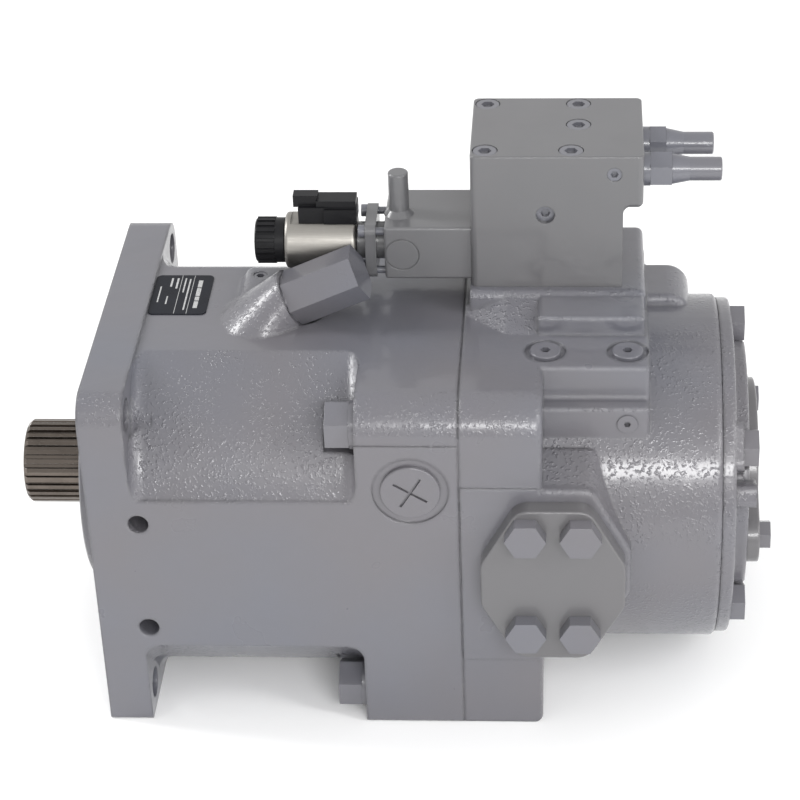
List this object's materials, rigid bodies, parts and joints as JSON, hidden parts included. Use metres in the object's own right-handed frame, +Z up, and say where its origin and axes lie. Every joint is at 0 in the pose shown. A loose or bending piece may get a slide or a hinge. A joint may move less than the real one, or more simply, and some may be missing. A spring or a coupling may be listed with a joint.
{
  "type": "axial piston pump",
  "caption": "Variable swashplate axial piston pump: square flange, splined shaft, cast housing, side ports, control block on top, solenoid pilot valve, working rotating group.",
  "frame": {"origin": "centre of the pilot on the flange's mounting face", "axes": "+X along the shaft from its splined end to the rear cover, +Y towards the suction port, +Z up to the control block"},
  "size_m": [0.5255, 0.2993, 0.375],
  "materials": {
    "cast_paint": "gloss grey enamel over rough sand casting",
    "machined_paint": "gloss grey enamel over machined faces",
    "painted_fasteners": "gloss grey enamel over steel",
    "name_plate_black": "black printed plate, satin",
    "shaft_steel": "hardened, oiled, slightly brown",
    "bearing_steel": "ground",
    "spring_steel": "oil tempered",
    "ground_steel": "ground and lapped",
    "bronze": "turned bronze",
    "cast_steel": "machined nodular iron",
    "impeller_alloy": "as cast",
    "seal_rubber": "matte",
    "coil_zinc": "satin zinc-nickel plated steel shell",
    "black_plastic": "moulded black nylon"
  },
  "bodies": {
    "casing": {"front_housing": "cast_paint", "port_plate": "cast_paint", "rear_cover": "cast_paint", "control_block": "machined_paint", "pilot_housing": "machined_paint", "drive_cover": "machined_paint", "port_cover": "machined_paint", "solenoid_flange": "machined_paint", "rear_cover_bolts": "painted_fasteners", "drive_cover_bolts": "painted_fasteners", "housing_bolts": "painted_fasteners", "port_cover_bolts": "painted_fasteners", "drain_plug": "painted_fasteners", "stroke_stop_plug": "painted_fasteners", "bleed_plug": "painted_fasteners", "gauge_plugs": "painted_fasteners", "block_screws": "painted_fasteners", "block_plugs": "painted_fasteners", "solenoid_screws": "painted_fasteners", "adjuster_collars": "painted_fasteners", "adjuster_nuts": "painted_fasteners", "adjuster_caps": "painted_fasteners", "name_plate": "name_plate_black", "front_bearing_outer": "bearing_steel", "rear_bearing_outer": "bearing_steel", "cradle_shells": "bearing_steel", "counter_spring": "spring_steel", "control_spring": "spring_steel", "carrier_ring": "spring_steel", "valve_plate": "ground_steel", "solenoid_tube": "ground_steel", "seal_carrier": "cast_steel", "shaft_seal": "seal_rubber", "port_cover_seal": "seal_rubber", "solenoid_coil": "coil_zinc", "solenoid_connector": "black_plastic", "coil_nut": "black_plastic"},
    "rotor": {"drive_shaft": "shaft_steel", "front_bearing_inner": "bearing_steel", "rear_bearing_inner": "bearing_steel", "cylinder_barrel": "cast_steel", "barrel_spring": "spring_steel", "impeller": "impeller_alloy", "impeller_ring": "spring_steel"},
    "piston_group": {"pistons": "ground_steel", "slippers": "bronze", "retaining_plate": "ground_steel", "guide_ball": "ground_steel"},
    "front_rollers": {"front_bearing_rollers": "bearing_steel"},
    "rear_rollers": {"rear_bearing_rollers": "bearing_steel"},
    "swashplate": {"swash_plate": "cast_steel"},
    "cradle_cage": {"cradle_cages": "bronze", "cradle_rollers": "bearing_steel"},
    "stroking_piston": {"stroking_piston": "ground_steel"},
    "counter_piston": {"counter_piston": "ground_steel"},
    "spool": {"control_spool": "ground_steel"},
    "armature": {"armature": "ground_steel", "pilot_spool": "ground_steel"},
    "pressure_screw": {"pressure_screw": "ground_steel"},
    "power_screw": {"power_screw": "ground_steel"}
  },
  "joints": [
    {"name": "shaft_spin", "type": "hinge", "parent": "casing", "child": "rotor", "pos_m": [0, 0, 0], "axis": [1, 0, 0], "continuous": true},
    {"name": "front_roller_spin", "type": "hinge", "parent": "casing", "child": "front_rollers", "pos_m": [0, 0, 0], "axis": [1, 0, 0], "continuous": true},
    {"name": "rear_roller_spin", "type": "hinge", "parent": "casing", "child": "rear_rollers", "pos_m": [0, 0, 0], "axis": [1, 0, 0], "continuous": true},
    {"name": "swash_tilt", "type": "hinge", "parent": "casing", "child": "swashplate", "pos_m": [0.112, 0, 0], "axis": [0, 1, 0], "range_deg": [0, 17]},
    {"name": "cradle_roll", "type": "hinge", "parent": "casing", "child": "cradle_cage", "pos_m": [0.112, 0, 0], "axis": [0, 1, 0], "range_deg": [0, 8.5]},
    {"name": "piston_slide", "type": "slide", "parent": "rotor", "child": "piston_group", "axis": [1, 0, 0], "range_m": [0, 0.0243], "deforming": ["barrel_spring"]},
    {"name": "stroking_slide", "type": "slide", "parent": "casing", "child": "stroking_piston", "axis": [1, 0, 0], "range_m": [0, 0.029]},
    {"name": "counter_slide", "type": "slide", "parent": "casing", "child": "counter_piston", "axis": [1, 0, 0], "range_m": [-0.0283, 0], "deforming": ["counter_spring"]},
    {"name": "spool_slide", "type": "slide", "parent": "casing", "child": "spool", "axis": [1, 0, 0], "range_m": [0, 0.004], "stiffness_N_per_m": 6000, "deforming": ["control_spring"]},
    {"name": "solenoid_push", "type": "slide", "parent": "casing", "child": "armature", "axis": [1, 0, 0], "range_m": [0, 0.003], "stiffness_N_per_m": 1000},
    {"name": "pressure_screw_turn", "type": "hinge", "parent": "casing", "child": "pressure_screw", "pos_m": [0.39, 0.058, 0.225], "axis": [1, 0, 0], "range_deg": [-720, 720]},
    {"name": "power_screw_turn", "type": "hinge", "parent": "casing", "child": "power_screw", "pos_m": [0.39, 0.02, 0.225], "axis": [1, 0, 0], "range_deg": [-720, 720]}
  ],
  "couplings": [
    {"joint": "front_roller_spin", "follows": "shaft_spin", "ratio": 0.446},
    {"joint": "rear_roller_spin", "follows": "shaft_spin", "ratio": 0.4386},
    {"joint": "cradle_roll", "follows": "swash_tilt", "ratio": 0.5},
    {"joint": "piston_slide", "follows": "swash_tilt", "m_per_rad": 0.0815},
    {"joint": "stroking_slide", "follows": "swash_tilt", "m_per_rad": 0.0974},
    {"joint": "counter_slide", "follows": "swash_tilt", "m_per_rad": -0.095}
  ]
}
